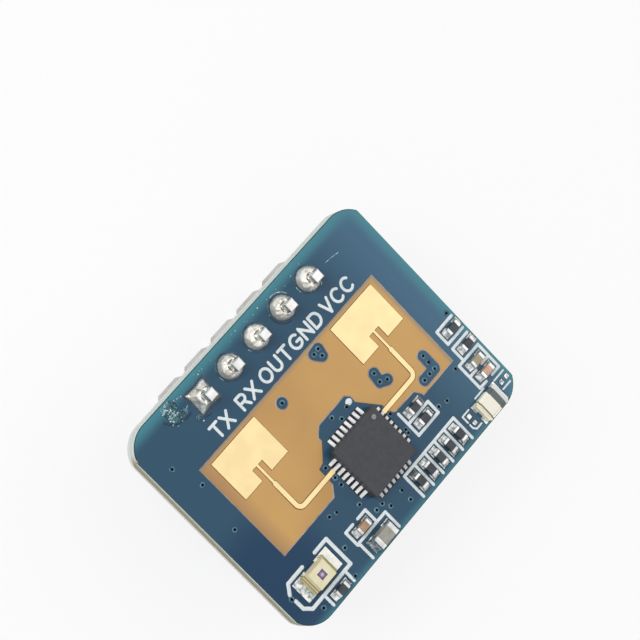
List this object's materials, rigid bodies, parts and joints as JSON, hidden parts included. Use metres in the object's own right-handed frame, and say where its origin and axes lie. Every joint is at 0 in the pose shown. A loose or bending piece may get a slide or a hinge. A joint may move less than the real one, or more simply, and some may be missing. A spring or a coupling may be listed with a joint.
{
  "type": "microwave radar sensor module",
  "caption": "Small circuit board radar sensor with patch antennas, a radar chip, a light sensor and a pin header, for sensing people indoors.",
  "frame": {"origin": "on the middle header pin's axis, in the underside of the header plastic", "axes": "+X along the pin row from the transmit pin to the supply pin, +Y from the board towards the edge with the pins, +Z out of the antenna face"},
  "size_m": [0.0218, 0.0165, 0.0095],
  "materials": {
    "laminate": "satin",
    "plating": "satin",
    "front_mask": "gloss",
    "rear_mask": "gloss",
    "lands": "satin",
    "antenna": "satin",
    "ink": "matte",
    "header_plastic": "matte",
    "solder": "bright",
    "chip_plastic": "matte",
    "tinned_metal": "satin",
    "pin_metal": "satin",
    "sensor_base": "matte",
    "silicon": "satin",
    "sensor_window": "clear",
    "crystal_ceramic": "matte",
    "crystal_lid": "satin",
    "tan_ceramic": "satin",
    "grey_ceramic": "satin",
    "resistor_black": "satin"
  },
  "bodies": {
    "root": {"antenna_left": "antenna", "antenna_right": "antenna", "capacitor_ends": "tinned_metal", "chip_resistor_1": "resistor_black", "chip_resistor_2": "resistor_black", "circuit_board": "laminate", "crystal_base": "crystal_ceramic", "crystal_lid": "crystal_lid", "edge_capacitor_1": "grey_ceramic", "edge_capacitor_2": "tan_ceramic", "edge_resistor_1": "resistor_black", "edge_resistor_2": "resistor_black", "front_lands": "lands", "front_mask": "front_mask", "front_part_solder": "solder", "header_insulator": "header_plastic", "hole_plating": "plating", "ink_frames": "ink", "large_capacitor": "grey_ceramic", "light_sensor_base": "sensor_base", "light_sensor_die": "silicon", "light_sensor_terminals": "lands", "light_sensor_window": "sensor_window", "microcontroller_body": "chip_plastic", "microcontroller_leads": "tinned_metal", "microcontroller_solder": "solder", "pin_gnd": "pin_metal", "pin_out": "pin_metal", "pin_rx": "pin_metal", "pin_tx": "pin_metal", "pin_vcc": "pin_metal", "radar_chip_body": "chip_plastic", "radar_chip_leads": "tinned_metal", "radar_chip_solder": "solder", "rear_capacitor_1": "tan_ceramic", "rear_capacitor_2": "tan_ceramic", "rear_capacitor_3": "tan_ceramic", "rear_capacitor_4": "tan_ceramic", "rear_lands": "lands", "rear_mask": "rear_mask", "rear_part_ends": "tinned_metal", "rear_part_solder": "solder", "rear_resistor_1": "resistor_black", "rear_resistor_2": "resistor_black", "regulator_body": "chip_plastic", "regulator_leads": "tinned_metal", "resistor_ends": "tinned_metal", "round_solder_joints": "solder", "row_resistor_1": "resistor_black", "row_resistor_2": "resistor_black", "row_resistor_3": "resistor_black", "row_resistor_4": "resistor_black", "row_resistor_5": "resistor_black", "sensor_resistor": "resistor_black", "small_capacitor": "tan_ceramic", "square_solder_joint": "solder"}
  },
  "joints": []
}
